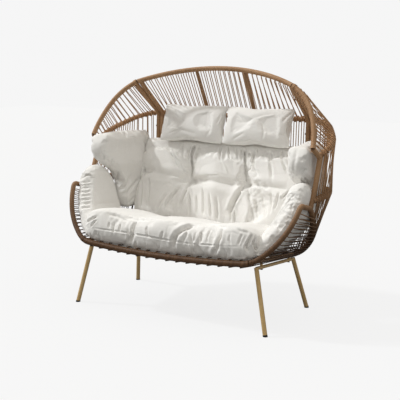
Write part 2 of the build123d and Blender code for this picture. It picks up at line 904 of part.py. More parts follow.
def wing_outline(height_share, notch_share, inset_share):
    height = wing_low_z + wing_height * height_share
    edge_y = wing_front_y + (wing_notch_y - wing_front_y) * notch_share
    inset = wing_end_inset * inset_share
    fall = max(0, ring_z - height)
    drop = fall * wing_low_share
    narrow = fall * wing_narrow_share * sqrt(fall / (ring_z - wing_low_z))
    corner_back = Vector(wing_seam_x + inset, front_y + wing_back_y - inset - drop)
    corner_turn = Vector(wing_turn_x - inset - narrow / 2, front_y + wing_turn_y - inset - drop)
    bend_y = front_y + wing_side_y - fall * wing_bend_share
    outer_bend = Vector(wing_outer_x - inset - narrow, bend_y)
    outer_front = Vector(wing_front_x - inset - narrow, front_y + edge_y + inset)
    inner_front = outer_front - Vector(wing_thickness - 2 * inset, -wing_taper)
    inner_back = Vector(wing_seam_x + inset, front_y + wing_inner_y + inset - drop)
    edges = [
        (corner_back, corner_turn, outer_bend),
        (outer_bend, outer_front),
        (outer_front, (outer_front + inner_front) / 2 - Vector(0, wing_taper), inner_front),
        (inner_front, inner_back),
        (inner_back, corner_back),
    ]
    return closed_outline(Plane.XY.offset(height), edges)


wing_cushion = lofted([wing_outline(*row) for row in wing_shares])
save_pair(wing_cushion, "wing_cushion")

# Head pillows: knife-edge pillows that lean on the back strands, corners longer than middles
lean_sin = sin(radians(pillow_lean))
lean_cos = cos(radians(pillow_lean))
# Each row: share of the half width, share of the height, share of the thickness
pillow_shares = both_ways(
    [(0, 0.975, 1), (0.45, 0.978, 0.95), (0.75, 0.985, 0.72), (0.93, 0.993, 0.4), (1, 1, 0.14)]
)


def pillow_outline(middle_x, set_forward, share, height_share, thick_share):
    middle_y = back_y - strand_reach - set_forward
    plane = Plane(
        origin=(middle_x + share * pillow_width / 2, front_y + middle_y, back_z - pillow_drop),
        x_dir=(0, -lean_cos, lean_sin),
        z_dir=-X_UNIT,
    )
    high = pillow_height / 2 * height_share
    thick = pillow_thick / 2 * thick_share
    edges = [((0, -high), (thick, 0), (0, high)), ((0, high), (-thick, 0), (0, -high))]
    return closed_outline(plane, edges)


for side, middle_x, set_forward in (
    ("left", pillow_x_left, pillow_set_left),
    ("right", pillow_x_right, pillow_set_right),
):
    head_pillow = lofted([pillow_outline(middle_x, set_forward, *row) for row in pillow_shares])
    save(head_pillow, f"head_pillow_{side}")
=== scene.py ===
import bmesh
import bpy
import numpy as np
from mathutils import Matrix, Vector
from mathutils.bvhtree import BVHTree


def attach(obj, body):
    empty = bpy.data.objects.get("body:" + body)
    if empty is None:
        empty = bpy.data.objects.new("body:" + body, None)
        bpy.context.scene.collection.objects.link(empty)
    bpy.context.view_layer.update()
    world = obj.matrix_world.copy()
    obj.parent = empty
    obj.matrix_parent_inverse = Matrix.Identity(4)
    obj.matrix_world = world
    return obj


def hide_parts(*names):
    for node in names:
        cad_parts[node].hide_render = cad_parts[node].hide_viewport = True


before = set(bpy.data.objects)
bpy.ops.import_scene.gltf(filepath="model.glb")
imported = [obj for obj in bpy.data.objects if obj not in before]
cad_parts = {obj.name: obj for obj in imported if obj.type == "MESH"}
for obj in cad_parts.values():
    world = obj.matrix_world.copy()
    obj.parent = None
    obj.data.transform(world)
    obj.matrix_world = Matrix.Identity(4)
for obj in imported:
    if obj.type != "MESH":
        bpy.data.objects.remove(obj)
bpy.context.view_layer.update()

scene = bpy.context.scene

# The studio: a pale floor, a soft sky that is dim below the horizon, and one lamp from the
# left that rakes across the cushions. The camera stands where the photograph's stood.
camera_place = Vector((2.6315, -4.3990, 1.5489))
camera_way = Vector((-0.50386, 0.84534, -0.17760))
camera_lens = 79.47
camera_sensor = 36
backdrop_level = 0.92
backdrop_glint = 0.2  # how bright the backdrop is to glossy rays
sky_high = 0.98
sky_level = 0.27
sky_low = 0.03
sky_warmth = (1.0, 0.975, 0.925)
lamp_way = Vector((1.0, 0.30, -0.92))
lamp_colour = (0.97, 0.985, 1.0)
lamp_strength = 2.1
lamp_softness = np.radians(5)
floor_half = 12.0
floor_matt = 0.86
floor_bounce = 0.28
floor_glow_share = 0.90


class Wires:
    """One output socket of a node tree, with sums and products that add Math nodes."""

    tree = None

    def __init__(self, socket):
        self.socket = socket

    @staticmethod
    def node(kind, settings=None, **inputs):
        """A new node: its settings are set first, then its sockets, by name or number."""
        new = Wires.tree.nodes.new(kind)
        for key, value in (settings or {}).items():
            if key == "stops":
                ramp = new.color_ramp
                while len(ramp.elements) < len(value):
                    ramp.elements.new(0.5)
                for element, (place, colour) in zip(ramp.elements, value):
                    element.position = place
                    element.color = (*colour, 1)
            else:
                setattr(new, key, value)
        for key, value in inputs.items():
            socket = new.inputs[int(key[1:])] if key[0] == "_" else new.inputs[key.replace("_", " ")]
            if isinstance(value, Wires):
                Wires.tree.links.new(value.socket, socket)
            else:
                socket.default_value = value
        return new

    @staticmethod
    def maths(operation, *values):
        inputs = {f"_{k}": value for k, value in enumerate(values)}
        return Wires(Wires.node("ShaderNodeMath", {"operation": operation}, **inputs).outputs[0])

    def __add__(self, other):
        return Wires.maths("ADD", self, other)

    def __sub__(self, other):
        return Wires.maths("SUBTRACT", self, other)

    def __rsub__(self, other):
        return Wires.maths("SUBTRACT", other, self)

    def __mul__(self, other):
        return Wires.maths("MULTIPLY", self, other)

    __radd__ = __add__
    __rmul__ = __mul__

    def fraction(self):
        return Wires.maths("FRACT", self)

    def ranged(self, low, high, new_low=0.0, new_high=1.0):
        """The value carried from one range to another, and held at its ends."""
        inputs = {"_0": self, "_1": low, "_2": high, "_3": new_low, "_4": new_high}
        made = Wires.node("ShaderNodeMapRange", {"interpolation_type": "SMOOTHSTEP"}, **inputs)
        return Wires(made.outputs[0])

    def mixed(self, first, second):
        """Colours mixed, the first where the value is 0 and the second where it is 1."""
        first, second = ((*end, 1) if isinstance(end, tuple) else end for end in (first, second))
        mix = Wires.node("ShaderNodeMix", {"data_type": "RGBA"}, _0=self, _6=first, _7=second)
        return Wires(mix.outputs[2])


def noise(vector, scale, detail=2.0, stretch=None):
    """Smooth noise from 0 to 1 at a scale per metre. A stretch squeezes it along each axis."""
    if stretch is not None:
        vector = Wires(Wires.node("ShaderNodeMapping", None, Vector=vector, Scale=stretch).outputs[0])
    return Wires(Wires.node("ShaderNodeTexNoise", None, Vector=vector, Scale=scale, Detail=detail).outputs[0])


def started(name):
    """A new material with an empty node tree, which the next nodes go into."""
    material = bpy.data.materials.new(name)
    material.use_nodes = True
    material.node_tree.nodes.clear()
    Wires.tree = material.node_tree
    return material


def here():
    return Wires(Wires.node("ShaderNodeTexCoord").outputs["Object"])


def finished(shader):
    Wires.node("ShaderNodeOutputMaterial", None, Surface=Wires(shader.outputs[0]))


world = bpy.data.worlds.new("sky")
scene.world = world
world.use_nodes = True
world.node_tree.nodes.clear()
Wires.tree = world.node_tree
way = Wires.node("ShaderNodeTexCoord").outputs["Generated"]
split = Wires.node("ShaderNodeSeparateXYZ", None, Vector=Wires(way))
height = Wires(split.outputs[2])
light = height.ranged(-0.25, 0.1, sky_low, sky_level) + height.ranged(0.1, 0.9, 0, sky_high - sky_level)
rays = Wires.node("ShaderNodeLightPath")
camera_ray, glossy_ray = (Wires(rays.outputs[f"Is {kind} Ray"]) for kind in ("Camera", "Glossy"))
seen = Wires.maths("MAXIMUM", camera_ray, glossy_ray * backdrop_glint)
level = light * (1 - seen) + seen * backdrop_level
sky = Wires.node("ShaderNodeBackground", None, Color=seen.mixed(sky_warmth, (1, 1, 1)), Strength=level)
Wires.node("ShaderNodeOutputWorld", None, Surface=Wires(sky.outputs[0]))

lamp = bpy.data.lights.new("lamp", "SUN")
lamp.energy = lamp_strength
lamp.angle = lamp_softness
lamp.color = lamp_colour
lamp_object = bpy.data.objects.new("lamp", lamp)
lamp_object.rotation_euler = lamp_way.to_track_quat("-Z", "Y").to_euler()
scene.collection.objects.link(lamp_object)

camera = bpy.data.cameras.new("camera")
camera.lens = camera_lens
camera.sensor_width = camera_sensor
camera_object = bpy.data.objects.new("camera", camera)
camera_object.location = camera_place
camera_object.rotation_euler = camera_way.to_track_quat("-Z", "Y").to_euler()
scene.collection.objects.link(camera_object)
scene.camera = camera_object
scene.view_settings.view_transform = "Standard"


def added(name, points, faces, smooth=True):
    """A mesh object at the origin from arrays of points and faces."""
    mesh = bpy.data.meshes.new(name)
    mesh.from_pydata(np.asarray(points).tolist(), [], faces if isinstance(faces, list) else faces.tolist())
    mesh.update()
    mesh.polygons.foreach_set("use_smooth", np.full(len(mesh.polygons), smooth))
    piece = bpy.data.objects.new(name, mesh)
    scene.collection.objects.link(piece)
    return piece


floor = added(
    "floor",
    [(x * floor_half, y * floor_half, 0) for x, y in ((-1, -1), (1, -1), (1, 1), (-1, 1))],
    [(0, 1, 2, 3)],
)
floor_paint = started("floor_paint")
seen = Wires(Wires.node("ShaderNodeLightPath").outputs["Is Camera Ray"])
matt = Wires.node("ShaderNodeBsdfDiffuse", None, Color=seen.mixed((floor_bounce,) * 3, (floor_matt,) * 3))
glow = Wires.node("ShaderNodeEmission", None, Color=(1, 1, 1, 1), Strength=backdrop_level)
share = seen * floor_glow_share
surfaces = {"_1": Wires(matt.outputs[0]), "_2": Wires(glow.outputs[0])}
finished(Wires.node("ShaderNodeMixShader", None, _0=share, **surfaces))
floor.data.materials.append(floor_paint)

# Wicker-wrapped rails: bent steel tube, wound all along with one round strand of extruded
# wicker, turn against turn. Each rail follows the centre line of its CAD tube.
rail_radius = 0.0145
front_rail_radius = 0.0175
wrap_width = 0.0055
wrap_depth = 0.0017
wrap_sides = 18
wrap_steps = 5  # rings for each turn of the wrap
wicker_light = (0.57, 0.36, 0.205)
wicker_dark = (0.35, 0.185, 0.085)
# Painted shade: the wicker is darkened towards this brown from the hood down to the seat, for the shade that
# the cushions and the seat cast on the low rails and strands.
painted_low_shade = (0.062, 0.028, 0.011)  # down at the seat
shade_deepest_below = 0.42
shade_gone_above = 0.90
painted_shade_share = 0.97


def corner_arrays(node):
    """Triangles of a CAD node: their corners' places and normals, as (faces, 3, 3) arrays."""
    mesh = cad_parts[node].data
    places = np.empty(len(mesh.vertices) * 3)
    mesh.vertices.foreach_get("co", places)
    normals = np.empty(len(mesh.loops) * 3)
    mesh.corner_normals.foreach_get("vector", normals)
    triangles = np.empty(len(mesh.loop_triangles) * 3, int)
    loops = np.empty(len(mesh.loop_triangles) * 3, int)
    mesh.loop_triangles.foreach_get("vertices", triangles)
    mesh.loop_triangles.foreach_get("loops", loops)
    found = places.reshape(-1, 3)[triangles], normals.reshape(-1, 3)[loops]
    return tuple(values.reshape(-1, 3, 3) for values in found)


def triangle_areas(corners):
    edges = corners[:, 1:] - corners[:, :1]
    return np.linalg.norm(np.cross(edges[:, 0], edges[:, 1]), axis=1) / 2


def centre_line(node, radius, nearest=0.006, shrunk=0.04):
    """Points along the middle of a CAD tube, in order from one end.

    A corner of the tube's side, moved in by the radius along its normal, lands on the middle line,
    so the side's faces shrink to nothing and the cut ends' faces don't. The points are then taken
    one after another, each the nearest that is left."""
    corners, normals = corner_arrays(node)
    inner = corners - radius * normals
    side = triangle_areas(inner) < shrunk * triangle_areas(corners)
    left = inner[side].reshape(-1, 3)
    path = [left[np.linalg.norm(left - left.mean(0), axis=1).argmax()]]
    while len(left):
        distance = np.linalg.norm(left - path[-1], axis=1)
        left, distance = left[distance > nearest], distance[distance > nearest]
        if len(left):
            path.append(left[distance.argmin()])
    return np.array(path)


def lengths_along(path):
    return np.r_[0, np.cumsum(np.linalg.norm(np.diff(path, axis=0), axis=1))]


def resampled(path, step, reach=0.03):
    """The path at even steps, through the curve whose slope at each point is the mean of its runs'."""
    points = []
    for start, end in zip(path[:-1], path[1:]):
        count = max(1, int(np.ceil(np.linalg.norm(end - start) / reach)))
        points.append(start + (end - start) * np.linspace(0, 1, count, endpoint=False)[:, None])
    points = np.vstack(points + [path[-1:]])
    at = lengths_along(points)
    gaps = np.diff(at)[:, None]
    runs = np.diff(points, axis=0) / gaps
    before, after = gaps[:-1], gaps[1:]
    slopes = np.vstack([runs[:1], (runs[:-1] * after + runs[1:] * before) / (after + before), runs[-1:]])
    wanted = np.linspace(0, at[-1], max(2, int(round(at[-1] / step)) + 1))
    k = np.clip(np.searchsorted(at, wanted, side="right") - 1, 0, len(gaps) - 1)
    u = ((wanted - at[k]) / gaps[k, 0])[:, None]
    bend = (u**3 - 2 * u**2 + u) * slopes[k] + (u**3 - u**2) * slopes[k + 1]
    return (2 * u**3 - 3 * u**2 + 1) * points[k] + (3 * u**2 - 2 * u**3) * points[k + 1] + bend * gaps[k]


def steady_frames(path):
    """Unit vectors across the path, two at each point, that turn as little as they can."""
    ways = np.gradient(path, axis=0)
    ways /= np.linalg.norm(ways, axis=1)[:, None]
    across = np.empty_like(ways)
    start = np.cross(ways[0], (0, 0, 1.0) if abs(ways[0, 2]) < 0.9 else (1.0, 0, 0))
    across[0] = start / np.linalg.norm(start)
    for k in range(1, len(ways)):
        step = across[k - 1] - ways[k] * (across[k - 1] @ ways[k])
        across[k] = step / np.linalg.norm(step)
    return across, np.cross(ways, across)


def tube_faces(rings, sides, offset=0, closed=False):
    """Quads between the rings of a tube, which point outwards."""
    ring = np.arange(rings if closed else rings - 1)[:, None]
    side = np.arange(sides)[None, :]
    after, beside = (ring + 1) % rings, (side + 1) % sides
    quads = [ring * sides + side, ring * sides + beside, after * sides + beside, after * sides + side]
    return np.stack([q + offset for q in np.broadcast_arrays(*quads)], axis=-1).reshape(-1, 4)


def set_uv(piece, corner_uv):
    """A UV map from an array of one pair for each corner of each face."""
    layer = piece.data.uv_layers.new(name="winding")
    layer.data.foreach_set("uv", np.ascontiguousarray(corner_uv, np.float32).ravel())


def wrapped_tube(name, path, radius):
    """A tube whose side is one ridge that winds round it: the ridge's section is a half round.

    The winding's number of turns at a point is its length over the wrap's width, less its share of
    the way round. The UV map holds the share of the way round and that number."""
    path = resampled(path, wrap_width / wrap_steps)
    across, other = steady_frames(path)
    rings = len(path)
    turn = np.arange(wrap_sides) / wrap_sides
    along = lengths_along(path)
    winds = along[:, None] / wrap_width - turn[None, :]
    over = 2 * (winds % 1) - 1
    radii = radius - wrap_depth * (1 - np.sqrt(np.clip(1 - over**2, 0, 1)))
    angle = 2 * np.pi * turn
    ways = np.cos(angle)[None, :, None] * across[:, None] + np.sin(angle)[None, :, None] * other[:, None]
    points = path[:, None] + radii[..., None] * ways
    caps = np.array([path[0], path[-1]])
    faces = tube_faces(rings, wrap_sides)
    body = len(faces)
    side = np.arange(wrap_sides)
    beside = (side + 1) % wrap_sides
    last = (rings - 1) * wrap_sides
    middle = rings * wrap_sides
    ends = [np.stack([beside, side, np.full(wrap_sides, middle)], -1)]
    ends.append(np.stack([last + side, last + beside, np.full(wrap_sides, middle + 1)], -1))
    piece = added(name, np.vstack([points.reshape(-1, 3), caps]), faces.tolist() + np.vstack(ends).tolist())
    ring = np.repeat(np.arange(rings - 1), wrap_sides)
    u = np.tile(side, rings - 1) / wrap_sides
    nearer, further = along[ring] / wrap_width, along[ring + 1] / wrap_width
    step = 1 / wrap_sides
    corners = np.stack(
        [[u, nearer - u], [u + step, nearer - u - step], [u + step, further - u - step], [u, further - u]]
    )
    uv = np.zeros((body * 4 + 2 * wrap_sides * 3, 2))
    uv[: body * 4] = corners.transpose(2, 0, 1).reshape(-1, 2)
    set_uv(piece, uv)
    return piece


def wicker_material(name, wound):
    """Extruded wicker: tan, streaked along the strand, satin, with painted shade in the grooves of a wrap and
    painted shade that darkens it low down towards the seat.
    """
    material = started(name)
    spot = here()
    uv = Wires(Wires.node("ShaderNodeTexCoord").outputs["UV"])
    winding = Wires(Wires.node("ShaderNodeSeparateXYZ", None, Vector=uv).outputs[1])
    streaks = noise(uv, 1.0, 3.0, (3.0, 34.0, 1.0) if wound else (2.0, 60.0, 1.0))
    patches = noise(spot, 9.0, 2.0)
    fine = noise(spot, 420.0, 2.0)
    tone = streaks.ranged(0.3, 0.7) * 0.5 + patches.ranged(0.3, 0.7) * 0.35 + fine * 0.15
    up = Wires(Wires.node("ShaderNodeSeparateXYZ", None, Vector=spot).outputs[2])
    colour = tone.mixed(wicker_dark, wicker_light)
    # Painted shade: darker towards the bottom, from tan by the hood to brown at the seat.
    colour = up.ranged(shade_deepest_below, shade_gone_above, painted_shade_share, 0.0).mixed(colour, painted_low_shade)
    height = streaks * 0.5 + fine * 0.5
    if wound:
        edge = Wires.maths("ABSOLUTE", winding.fraction() * 2 - 1)
        groove = edge.ranged(0.62, 1.0)
        turns = Wires.maths("FLOOR", winding)
        pick = Wires.node("ShaderNodeTexWhiteNoise", {"noise_dimensions": "1D"}, W=turns)
        colour = (Wires(pick.outputs[0]) * 0.22).mixed(colour, wicker_dark)
        # Painted shade in the grooves between the wrap's turns.
        colour = (groove * 0.8).mixed(colour, tuple(0.3 * c for c in wicker_dark))
    bump = Wires.node("ShaderNodeBump", None, Strength=0.25, Distance=0.0004, Height=height)
    rough = fine.ranged(0.2, 0.8, 0.42, 0.6)
    shader = Wires.node(
        "ShaderNodeBsdfPrincipled",
        None,
        Base_Color=colour,
        Roughness=rough,
        Specular_IOR_Level=0.25,
        Normal=Wires(bump.outputs[0]),
    )
    finished(shader)
    return material


wrap_finish = wicker_material("wicker_wrap", True)
sides = ("left", "right")
single_rails = ("front_rail", "rear_rail", "back_rail", "ring_rail_back", "hood_arc")
paired_rails = ("arm_rail", "front_post", "rear_rib", "panel_rib")
paired_rails += ("wing_rib", "ring_rail", "side_rail", "wing_arc")
rail_nodes = list(single_rails) + [f"{name}_{side}" for name in paired_rails for side in sides]
rail_lines = {}
for node in rail_nodes:
    radius = front_rail_radius if node == "front_rail" else rail_radius
    rail_lines[node] = centre_line(node, radius)
    rail = wrapped_tube(f"{node}_wrap", rail_lines[node], radius)
    rail.data.materials.append(wrap_finish)
    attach(rail, "frame")
    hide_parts(node)

# Strands: the same wicker, strung between two rails in turns. Each turn runs down the front,
# round the far side of one rail, up the back and round the far side of the other. At the rim its
# ends are tucked in under the wrap.
strand_radius = 0.00275
strand_reach = 0.0176  # from the middle of a rail to the middle of its strands
strand_sides = 8
hook_steps = 8
streak_rate = 10  # UV units for each metre of a strand
rim_dip = 0.9  # where a turn begins to dip into a rim rail, in reaches before its end
under_seat_dip = 5.0  # the same at the front rail, whose underside is in sight
tucked_rails = ("hood_arc", "front_rail", "wing_arc", "arm_rail", "front_post")
strand_finish = wicker_material("wicker_strand", False)


def separate_solids(node, same_place=2e-6):
    """Places of each solid of a CAD node: faces that share a corner's place belong together."""
    corners, _ = corner_arrays(node)
    keys = np.round(corners.reshape(-1, 3) / same_place).astype(np.int64)
    _, spots = np.unique(keys, axis=0, return_inverse=True)
    spots = spots.reshape(-1, 3)
    label = np.arange(spots.max() + 1)
    while True:
        lowest = label[spots].min(1)
        new = label.copy()
        np.minimum.at(new, spots.ravel(), np.repeat(lowest, 3))
        new = new[new]
        if (new == label).all():
            break
        label = new
    owner = label[spots[:, 0]]
    return [corners[owner == k].reshape(-1, 3) for k in np.unique(owner)]


def run_ends(points, end_share=0.1):
    """The two ends of a straight cylinder's axis, from the places of its corners."""
    middle = points.mean(0)
    _, _, ways = np.linalg.svd(points - middle, full_matrices=False)
    along = (points - middle) @ ways[0]
    reach = (along.max() - along.min()) / 2 * end_share
    low = points[along < along.min() + reach]
    high = points[along > along.max() - reach]
    ends = [(group.max(0) + group.min(0)) / 2 for group in (low, high)]
    return sorted(ends, key=lambda end: (round(end[2], 2), round(end[1], 2), end[0]))


def paired_runs(node):
    """The runs of a node in pairs, the front and the back run of one turn, which are nearest neighbours."""
    runs = np.array([run_ends(points) for points in separate_solids(node)])
    left = list(range(len(runs)))
    pairs = []
    while left:
        first = left.pop(0)
        ends = np.linalg.norm(runs[left] - runs[first], axis=2)
        swapped = np.linalg.norm(runs[left][:, ::-1] - runs[first], axis=2)
        apart = np.minimum(*(np.abs(gaps - 2 * strand_reach).sum(1) for gaps in (ends, swapped)))
        turned = swapped.sum(1) < ends.sum(1)
        k = int(apart.argmin())
        other = runs[left[k]][::-1] if turned[k] else runs[left[k]]
        left.pop(k)
        pairs.append((runs[first], other))
    return pairs


def nearest_rail(point):
    return min(rail_lines, key=lambda node: np.linalg.norm(rail_lines[node] - point, axis=1).min())


def strand_path(front, back):
    """Closed path of one turn: half a circle joins its two runs beyond each end.

    At the rim's rails the turn is tucked in under the wrap: it dips into the rail's middle."""
    path = []
    for end, other in ((1, 0), (0, 1)):
        first, second = (front, back) if end else (back, front)
        middle = (first[end] + second[end]) / 2
        side = first[end] - middle
        out = first[end] - first[other]
        out -= side * (out @ side) / (side @ side)
        out *= np.linalg.norm(side) / np.linalg.norm(out)
        angle = np.linspace(0, np.pi, hook_steps + 1)[:, None]
        rail = nearest_rail(middle)
        if rail.startswith(tucked_rails):
            dip = under_seat_dip if rail == "front_rail" else rim_dip
            bend = np.abs(np.cos(angle))
            inward = side * np.cos(angle) * (0.5 + 0.5 * bend**6)
            path.append(middle + inward + out * (0.1 - dip * bend**4))
        else:
            path.append(middle + side * np.cos(angle) + out * np.sin(angle))
    return np.vstack(path)


strand_nodes = ["hood_strands", "back_strands", "lower_back_strands", "seat_strands"]
for group in ("hood_wing_strands", "back_wing_strands", "lower_side_strands", "arm_strands"):
    strand_nodes += [f"{group}_left", f"{group}_right"]
for node in strand_nodes:
    all_points, all_faces, all_uv = [], [], []
    turn = np.arange(strand_sides) / strand_sides * 2 * np.pi
    for number, (front, back) in enumerate(paired_runs(node)):
        path = strand_path(front, back)
        ways = np.roll(path, -1, axis=0) - np.roll(path, 1, axis=0)
        ways /= np.linalg.norm(ways, axis=1)[:, None]
        flat = np.cross(front[1] - front[0], back[0] - front[0])
        flat /= np.linalg.norm(flat)
        across = flat - ways * (ways @ flat)[:, None]
        across /= np.linalg.norm(across, axis=1)[:, None]
        other = np.cross(ways, across)
        round_way = [shape(turn)[None, :, None] for shape in (np.cos, np.sin)]
        section = round_way[0] * across[:, None] + round_way[1] * other[:, None]
        points = (path[:, None] + strand_radius * section).reshape(-1, 3)
        faces = tube_faces(len(path), strand_sides, number * len(points), closed=True)
        along = np.append(lengths_along(path), lengths_along(path)[-1] + np.linalg.norm(path[0] - path[-1]))
        ring = np.repeat(np.arange(len(path)), strand_sides)
        u = np.tile(np.arange(strand_sides), len(path)) / strand_sides
        near, far = (along[k] * streak_rate + number for k in (ring, ring + 1))
        step = 1 / strand_sides
        corners = np.stack([[near, u], [near, u + step], [far, u + step], [far, u]])
        all_uv.append(corners.transpose(2, 0, 1).reshape(-1, 2))
        all_points.append(points)
        all_faces.append(faces)
    strands = added(f"{node}_wound", np.vstack(all_points), np.vstack(all_faces))
    set_uv(strands, np.vstack(all_uv))
    strands.data.materials.append(strand_finish)
    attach(strands, "frame")
    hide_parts(node)

# Joint bands and wing links: the rim's and the hood's joints are wound over with a few turns of
# wicker, and a short wrapped tube carries each wing arc's foot on the front post.
band_start = 0.002
band_end = 0.020
band_radius = rail_radius + 0.00245


def stretch_of(path, start, end):
    """The part of a path between two lengths from its start."""
    fine = resampled(path, 0.001)
    at = lengths_along(fine)
    return fine[(at >= start) & (at <= end)]


for side in sides:
    for node in (f"arm_rail_{side}", f"wing_arc_{side}"):
        path = rail_lines[node]
        if abs(path[0, 0]) > abs(path[-1, 0]):
            path = path[::-1]
        band = wrapped_tube(f"joint_band_{node}", stretch_of(path, band_start, band_end), band_radius)
        band.data.materials.append(wrap_finish)
        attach(band, "frame")
        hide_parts("joint_bands")
    ends = [rail_lines[f"{name}_{side}"][[0, -1]] for name in ("front_post", "wing_arc")]
    post_end = ends[0][ends[0][:, 2].argmax()]
    arc_end = ends[1][ends[1][:, 2].argmin()]
    link = wrapped_tube(f"wing_link_{side}", np.array([post_end, arc_end]), rail_radius)
    link.data.materials.append(wrap_finish)
    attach(link, "frame")
    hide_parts("wing_links")

# Bare ribs: thinner steel tubes, bent to the panels' curve and welded between the rails. They lie
# between the two layers of strands and are powder-coated brown, as the bolts beside them are.
rib_brown = (0.33, 0.19, 0.095)
rib_worn = (0.42, 0.26, 0.14)


def coat_material(name, colour, worn, grain=300.0, rough=(0.38, 0.55), metallic=0.0):
    """Powder coat: a fine orange peel, slightly uneven in colour and in gloss."""
    material = started(name)
    spot = here()
    fine = noise(spot, grain, 2.0)
    patches = noise(spot, 14.0, 3.0)
    colour = (patches.ranged(0.3, 0.75) * 0.7 + fine * 0.3).mixed(colour, worn)
    bump = Wires.node("ShaderNodeBump", None, Strength=0.12, Distance=0.0003, Height=fine)
    shader = Wires.node(
        "ShaderNodeBsdfPrincipled",
        None,
        Base_Color=colour,
        Roughness=fine.ranged(0.2, 0.8, *rough),
        Metallic=metallic,
        Normal=Wires(bump.outputs[0]),
    )
    finished(shader)
    return material


def painted(nodes, material):
    """CAD nodes that stay as they are get a finish."""
    for node in nodes:
        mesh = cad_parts[node].data
        mesh.materials.clear()
        mesh.materials.append(material)


rib_paint = coat_material("rib_paint", rib_brown, rib_worn)
painted(("hood_ribs", "back_ribs", "lower_ribs", "seat_ribs", "leg_rib_left", "leg_rib_right"), rib_paint)
bolt_brown = (0.10, 0.06, 0.035)
bolt_worn = (0.18, 0.12, 0.08)
painted(("seam_bolts", "leg_bolts"), coat_material("bolt_paint", bolt_brown, bolt_worn))

# Legs: round steel tube in satin pale gold, with a stretcher a side and spacers up to the ribs.
# The foot caps are black rubber.
gold = (0.64, 0.43, 0.18)
gold_worn = (0.72, 0.51, 0.25)
leg_nodes = [f"{name}_{side}" for name in ("front_leg", "rear_leg", "side_stretcher") for side in sides]
gold_paint = coat_material("gold_paint", gold, gold_worn, 600.0, (0.30, 0.42), 0.35)
painted(leg_nodes + ["leg_spacers"], gold_paint)
cap_black = (0.012, 0.012, 0.013)
cap_worn = (0.03, 0.03, 0.03)
painted(("foot_caps",), coat_material("cap_rubber", cap_black, cap_worn, 900.0, (0.6, 0.8)))

# Cushions: covers of off-white woven polyester over fibre filling, tied down at tufts and
# channels. Each starts within 3 mm of its CAD solid's surface and is blown up as cloth, then gets
# the folds that the photograph shows, placed by its pixels on the cushion's own surface.
photo_middle = 200
photo_focus = camera_lens / camera_sensor * 2 * photo_middle
linen_light = (0.86, 0.845, 0.815)
linen_shade = (0.76, 0.74, 0.695)
sim_frames = 20
firm_fade = 0.02  # over this height a firm top's hold grows to full


def sight_line(x, y):
    """The line of sight through a pixel of the photograph: a unit vector from the camera."""
    turn = camera_way.to_track_quat("-Z", "Y")
    right, up = (x - photo_middle) / photo_focus, (photo_middle - y) / photo_focus
    return (turn @ Vector((right, up, -1))).normalized()


def arrays_of(mesh):
    """Places and normals of a mesh's vertices."""
    places, normals = np.empty(len(mesh.vertices) * 3), np.empty(len(mesh.vertices) * 3)
    mesh.vertices.foreach_get("co", places)
    mesh.vertex_normals.foreach_get("vector", normals)
    return places.reshape(-1, 3), normals.reshape(-1, 3)


def place_points(mesh, points):
    mesh.vertices.foreach_set("co", np.ascontiguousarray(points, np.float32).ravel())
    mesh.update()


def sight_tree(mesh):
    """The faces of a mesh, sorted so that a line of sight finds the first that it meets."""
    corners = np.empty(len(mesh.loops), np.int32)
    mesh.loops.foreach_get("vertex_index", corners)
    starts = np.empty(len(mesh.polygons), np.int32)
    mesh.polygons.foreach_get("loop_start", starts)
    faces = [face.tolist() for face in np.split(corners, starts[1:])]
    return BVHTree.FromPolygons(arrays_of(mesh)[0].tolist(), faces)


def surface_points(tree, pixels):
    """Where the lines of sight through pixels first meet a mesh, without those that miss it."""
    hits = [tree.ray_cast(camera_place, sight_line(*pixel))[0] for pixel in pixels]
    return np.array([hit for hit in hits if hit is not None]).reshape(-1, 3)


def path_distance(points, path):
    """Distance of each point to a path of straight runs, and how far along the path it is, 0 to 1."""
    best, share = np.full(len(points), 1e9), np.zeros(len(points))
    at = lengths_along(path)
    for start, end, length in zip(path[:-1], path[1:], at[:-1]):
        run = end - start
        along = np.clip((points - start) @ run / (run @ run), 0, 1)
        distance = np.linalg.norm(points - start - along[:, None] * run, axis=1)
        nearer = distance < best
        best[nearer] = distance[nearer]
        share[nearer] = ((length + along * np.linalg.norm(run)) / at[-1])[nearer]
    return best, share


def lattice(keys, seed):
    """A steady value from -1 to 1 for each whole-number place, from its own digits."""
    mixed = keys[:, 0] * 73856093 ^ keys[:, 1] * 19349663 ^ keys[:, 2] * 83492791 ^ seed * 2654435761
    mixed = (mixed ^ (mixed >> 13)) * 1274126177 & 0x7FFFFFFF
    return (mixed ^ (mixed >> 16)) % 65536 / 32768 - 1


def lumps(points, size, seed=1):
    """Smooth noise from -1 to 1: values at the corners of a lattice of a size, blended between."""
    scaled = points / np.asarray(size)
    low = np.floor(scaled).astype(np.int64)
    part = scaled - low
    part = part * part * (3 - 2 * part)
    total = np.zeros(len(points))
    for corner in np.ndindex(2, 2, 2):
        weight = np.prod(np.where(corner, part, 1 - part), axis=1)
        total += weight * lattice(low + corner, seed)
    return total


def evaluated_mesh(piece):
    graph = bpy.context.evaluated_depsgraph_get()
    return bpy.data.meshes.new_from_object(piece.evaluated_get(graph))


